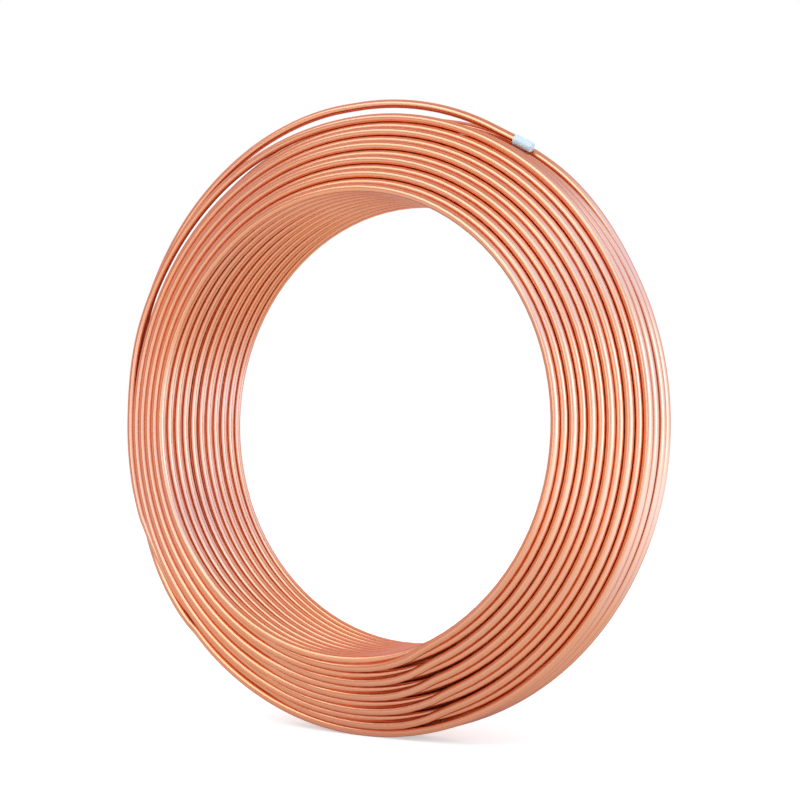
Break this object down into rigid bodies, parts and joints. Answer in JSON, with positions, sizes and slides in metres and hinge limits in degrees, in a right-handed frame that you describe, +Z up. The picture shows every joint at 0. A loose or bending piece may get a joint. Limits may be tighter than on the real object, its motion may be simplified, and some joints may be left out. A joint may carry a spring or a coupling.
{
  "type": "copper tube coil",
  "caption": "Level-wound coil of bare copper tube standing on its rim, with an open bore, ridged sloping ends and rim, and a sprung outer end closed by a plastic cap.",
  "frame": {"origin": "on the floor under the coil's axis, midway across the coil's width", "axes": "+Y along the coil's axis from its front end to its back end, +Z up, +X to the right seen from the front"},
  "size_m": [0.684, 0.1526, 0.7045],
  "materials": {
    "copper": "bright drawn copper, bare",
    "cap_plastic": "soft translucent polyethylene"
  },
  "bodies": {
    "root": {"copper_tube": "copper", "outer_end_cap": "cap_plastic", "inner_end_cap": "cap_plastic"}
  },
  "joints": []
}
